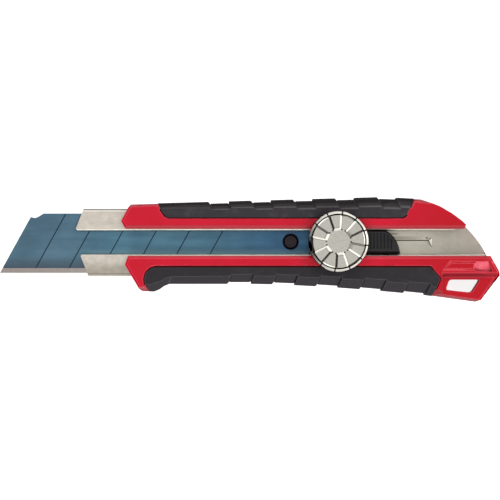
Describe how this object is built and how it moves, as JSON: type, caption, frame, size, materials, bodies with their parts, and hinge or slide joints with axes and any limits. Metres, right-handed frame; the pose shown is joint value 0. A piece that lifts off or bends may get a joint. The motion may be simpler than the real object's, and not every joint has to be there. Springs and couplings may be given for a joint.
{
  "type": "utility knife",
  "caption": "Snap-off utility knife with a steel channel, a sliding blade carriage, a screw-down lock wheel, rubber grips and a lanyard hole.",
  "frame": {"origin": "point on the flat back face under the middle line of the steel channel, 36.5 mm in front of the lock wheel's axis at rest", "axes": "+X along the knife from the blade's tip to the tail, +Y across it towards the blade's back, +Z from the back face to the lock wheel"},
  "size_m": [0.2095, 0.0439, 0.0248],
  "materials": {
    "red_plastic": "semi-gloss moulded",
    "black_rubber": "matt moulded",
    "channel_steel": "fine brushed",
    "blade_steel": "blued, with a bright ground edge",
    "dark_steel": "blackened",
    "plain_steel": "zinc plated",
    "black_plastic": "fine texture",
    "cast_silver": "satin chromed die casting",
    "bush_brass": "turned"
  },
  "bodies": {
    "handle": {"back_shell": "red_plastic", "upper_rail": "red_plastic", "lower_rail": "red_plastic", "upper_grip": "black_rubber", "lower_grip": "black_rubber", "blade_channel": "channel_steel", "channel_rivets": "plain_steel"},
    "carriage": {"blade": "blade_steel", "blade_carrier": "plain_steel", "blade_stud": "dark_steel", "rattle_spring": "plain_steel", "thumb_slider": "black_plastic", "slider_rivets": "plain_steel", "lock_screw": "plain_steel"},
    "saddle": {"clamp_saddle": "plain_steel", "wave_washer": "plain_steel"},
    "wheel": {"lock_wheel": "cast_silver", "wheel_bush": "bush_brass"}
  },
  "joints": [
    {"name": "blade_slide", "type": "slide", "parent": "handle", "child": "carriage", "axis": [1, 0, 0], "range_m": [-0.075, 0.0336]},
    {"name": "saddle_lift", "type": "slide", "parent": "carriage", "child": "saddle", "axis": [0, 0, 1], "range_m": [0, 0.0008]},
    {"name": "wheel_turn", "type": "hinge", "parent": "saddle", "child": "wheel", "pos_m": [0.0365, 0.0003, 0.0174], "axis": [0, 0, 1], "range_deg": [0, 360]}
  ],
  "couplings": [
    {"joint": "wheel_turn", "follows": "saddle_lift", "rad_per_m": 7854}
  ]
}
